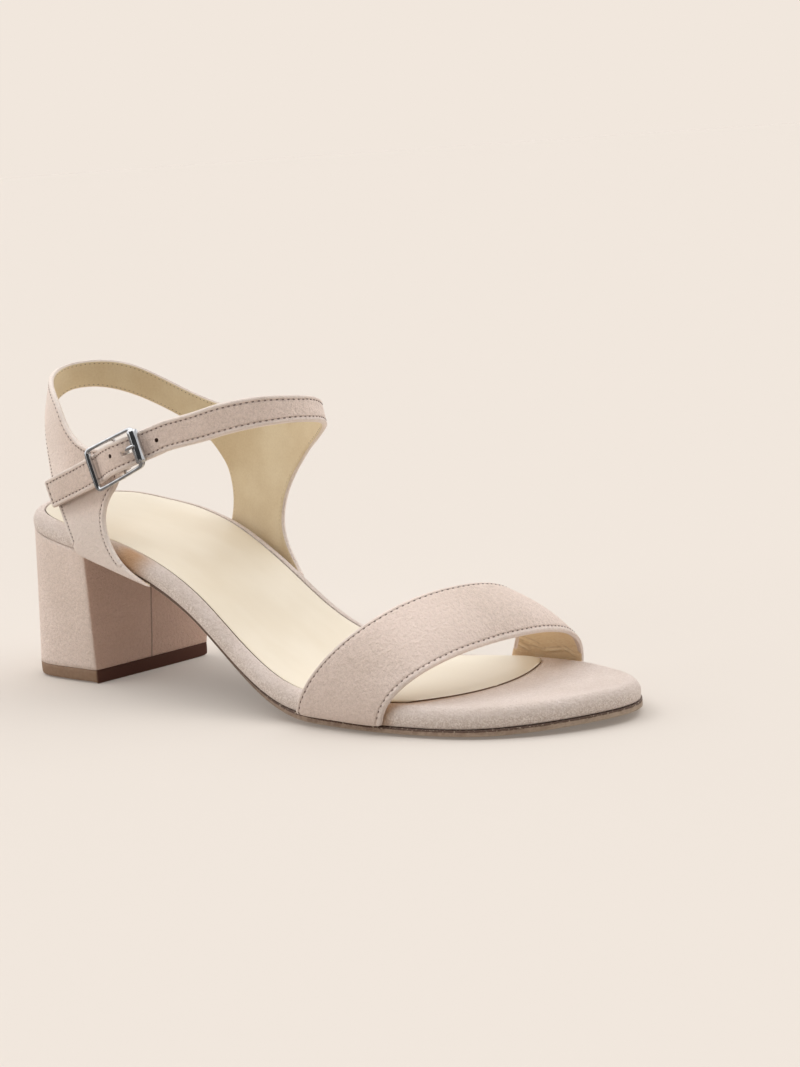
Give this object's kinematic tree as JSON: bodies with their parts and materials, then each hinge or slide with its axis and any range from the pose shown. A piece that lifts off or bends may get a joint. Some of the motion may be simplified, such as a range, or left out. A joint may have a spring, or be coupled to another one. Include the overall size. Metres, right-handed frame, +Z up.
{
  "type": "mid heel sandal",
  "caption": "Right-foot open-toe sandal with a curved mid-height block heel, a broad toe strap and a buckled ankle strap; worn on a foot for dress or town wear.",
  "frame": {"origin": "on the floor under the middle of the shoe's length and width", "axes": "+X from heel to toe along the sole, +Y towards the inner side of the foot, +Z up"},
  "size_m": [0.2382, 0.0852, 0.1057],
  "materials": {
    "suede_footbed": "matte suede wrap",
    "sock_leather": "satin",
    "outsole_leather": "matte, dark edge",
    "suede_heel": "matte suede wrap",
    "tip_rubber": "matte",
    "suede_toe_strap": "matte suede, tan lining",
    "suede_ankle_straps": "matte suede, tan lining",
    "buckle_metal": "polished",
    "prong_metal": "polished"
  },
  "bodies": {
    "root": {"footbed": "suede_footbed", "insole_sock": "sock_leather", "outsole": "outsole_leather", "heel": "suede_heel", "heel_tip": "tip_rubber", "toe_strap": "suede_toe_strap", "ankle_straps": "suede_ankle_straps", "buckle_frame": "buckle_metal", "buckle_prong": "prong_metal"}
  },
  "joints": []
}
